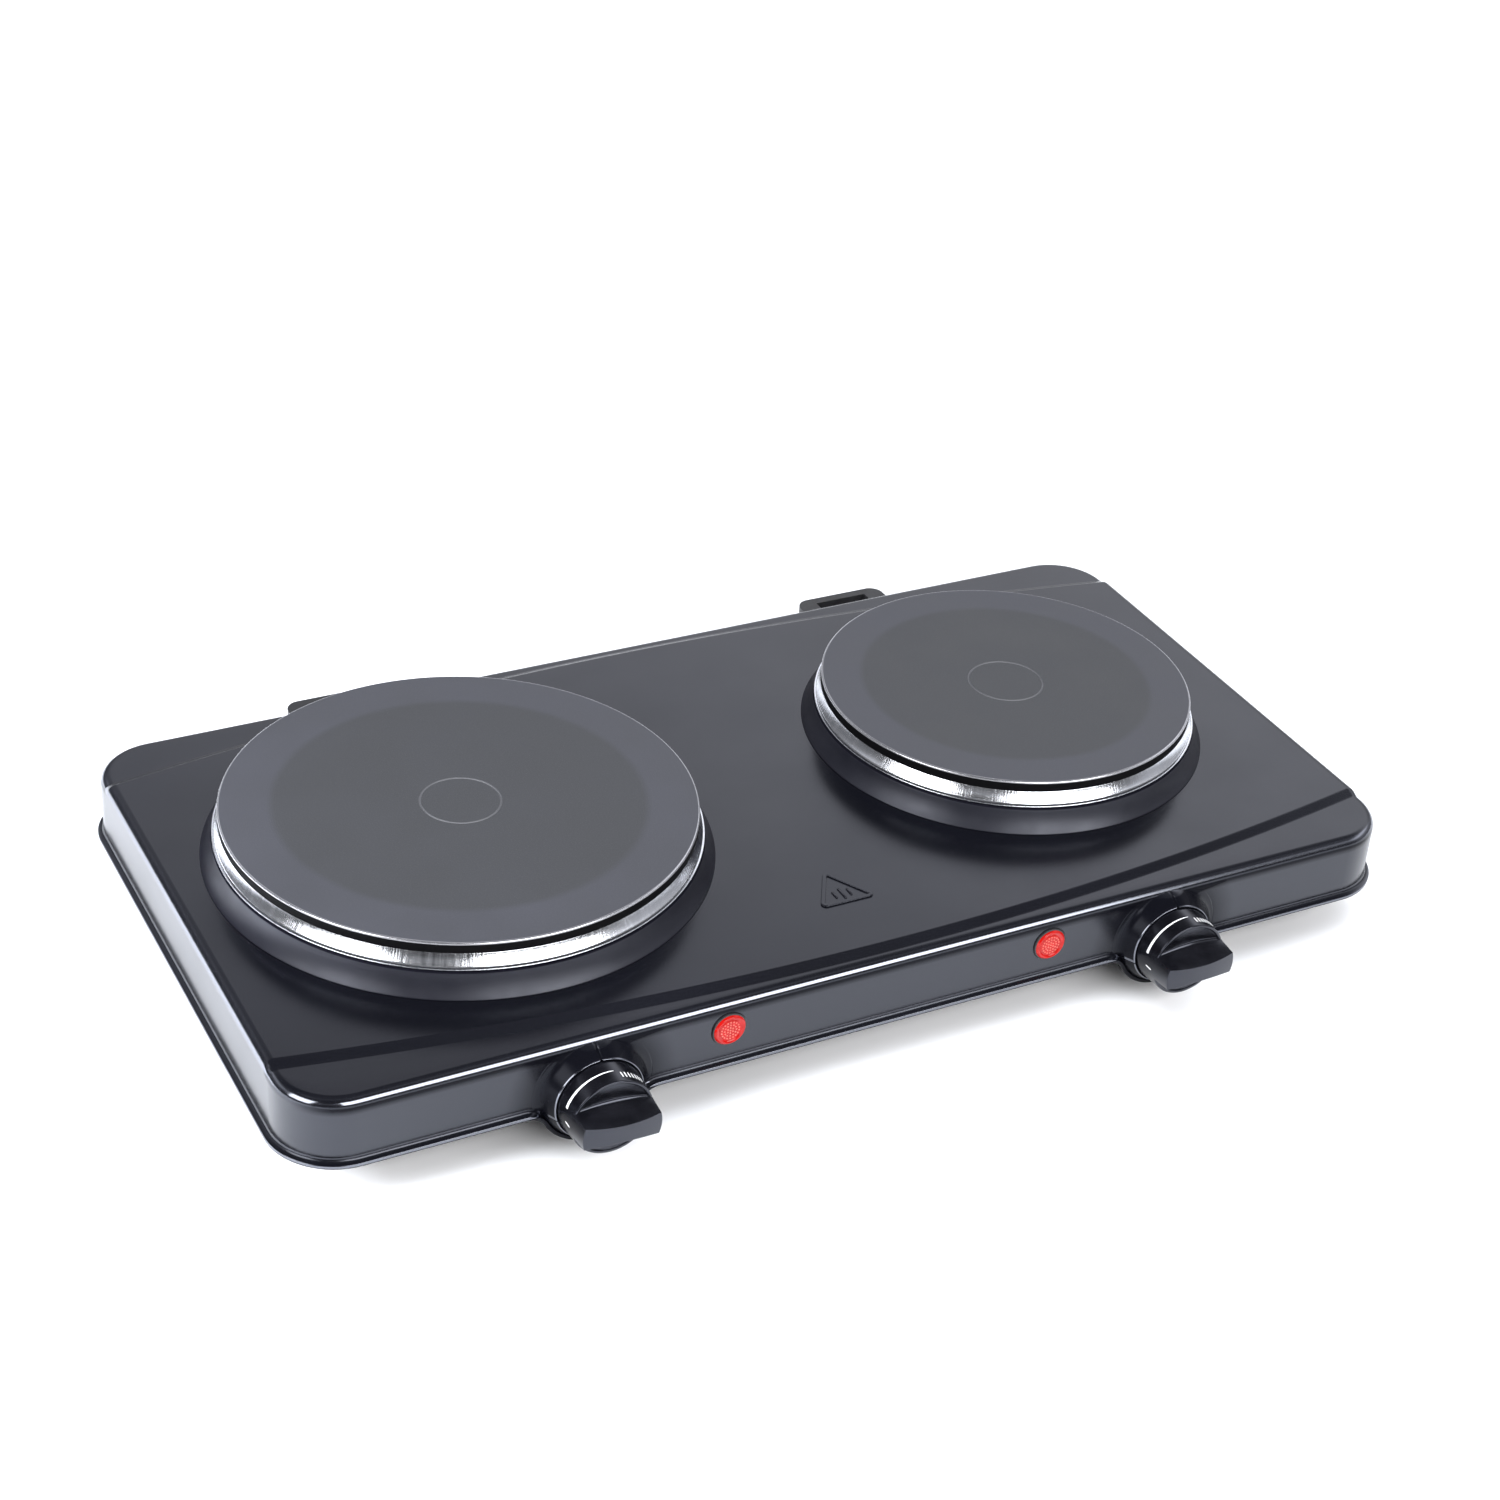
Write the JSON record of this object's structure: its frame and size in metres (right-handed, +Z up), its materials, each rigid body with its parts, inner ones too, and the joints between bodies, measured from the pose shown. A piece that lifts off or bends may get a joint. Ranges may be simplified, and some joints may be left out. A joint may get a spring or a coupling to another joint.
{
  "type": "electric hot plate",
  "caption": "Free-standing electric hot plate: enamelled steel housing with a large and a small cast-iron burner, front control knobs and red indicator lamps.",
  "frame": {"origin": "on the surface it stands on, under the centre of the whole bounding box", "axes": "+X along the length towards the smaller burner, +Y away from the knobs, +Z up"},
  "size_m": [0.4778, 0.2987, 0.0705],
  "materials": {
    "housing_enamel": "satin dark grey-blue enamel on pressed steel",
    "black_enamel": "semi-gloss black enamel",
    "trim_chrome": "bright rolled stainless trim",
    "plate_iron": "machined and blackened cast iron",
    "element_sheath": "heat-darkened metal sheath",
    "galvanised_steel": "zinc-coated sheet",
    "ceramic": "unglazed cream ceramic",
    "zinc_steel": "zinc-plated steel",
    "knob_black": "glossy black thermoset",
    "lens_red": "translucent red lens",
    "black_plastic": "black moulded plastic",
    "terminal_brass": "brass",
    "foot_rubber": "black rubber",
    "wire_sleeve": "glass-fibre sleeving"
  },
  "bodies": {
    "housing": {"bottom_cover": "black_enamel", "bracket_screws": "zinc_steel", "bridge_nuts": "zinc_steel", "bridge_washers": "zinc_steel", "cord_bushing": "black_plastic", "cord_clamp": "black_plastic", "cord_clamp_screws": "zinc_steel", "cover_screws": "zinc_steel", "earth_screw": "zinc_steel", "earth_wire": "wire_sleeve", "foot_screws": "zinc_steel", "front_left_foot": "foot_rubber", "front_right_foot": "foot_rubber", "lamp_leads": "wire_sleeve", "left_collar": "black_enamel", "left_cord_bracket": "black_plastic", "left_heat_shield": "galvanised_steel", "left_heating_element": "element_sheath", "left_lamp_clip": "galvanised_steel", "left_lamp_holder": "black_plastic", "left_lamp_lens": "lens_red", "left_mounting_bridge": "galvanised_steel", "left_plate": "plate_iron", "left_plate_insulator": "ceramic", "left_spacer": "zinc_steel", "left_stud": "zinc_steel", "left_thermostat": "ceramic", "left_thermostat_bracket": "galvanised_steel", "left_trim_ring": "trim_chrome", "live_wires": "wire_sleeve", "mains_terminal_block": "black_plastic", "neutral_wires": "wire_sleeve", "rear_left_foot": "foot_rubber", "rear_right_foot": "foot_rubber", "right_collar": "black_enamel", "right_cord_bracket": "black_plastic", "right_heat_shield": "galvanised_steel", "right_heating_element": "element_sheath", "right_lamp_clip": "galvanised_steel", "right_lamp_holder": "black_plastic", "right_lamp_lens": "lens_red", "right_mounting_bridge": "galvanised_steel", "right_plate": "plate_iron", "right_plate_insulator": "ceramic", "right_spacer": "zinc_steel", "right_stud": "zinc_steel", "right_thermostat": "ceramic", "right_thermostat_bracket": "galvanised_steel", "right_trim_ring": "trim_chrome", "terminal_screws": "terminal_brass", "thermostat_screws": "zinc_steel", "top_housing": "housing_enamel"},
    "left_knob": {"left_knob": "knob_black", "left_thermostat_shaft": "zinc_steel", "left_knob_spring": "galvanised_steel"},
    "right_knob": {"right_knob": "knob_black", "right_thermostat_shaft": "zinc_steel", "right_knob_spring": "galvanised_steel"}
  },
  "joints": [
    {"name": "left_knob_turn", "type": "hinge", "parent": "housing", "child": "left_knob", "pos_m": [-0.1238, -0.12165, 0.0254], "axis": [0, 1, 0], "range_deg": [-75, 95]},
    {"name": "right_knob_turn", "type": "hinge", "parent": "housing", "child": "right_knob", "pos_m": [0.1238, -0.12165, 0.0254], "axis": [0, 1, 0], "range_deg": [-75, 95]}
  ]
}
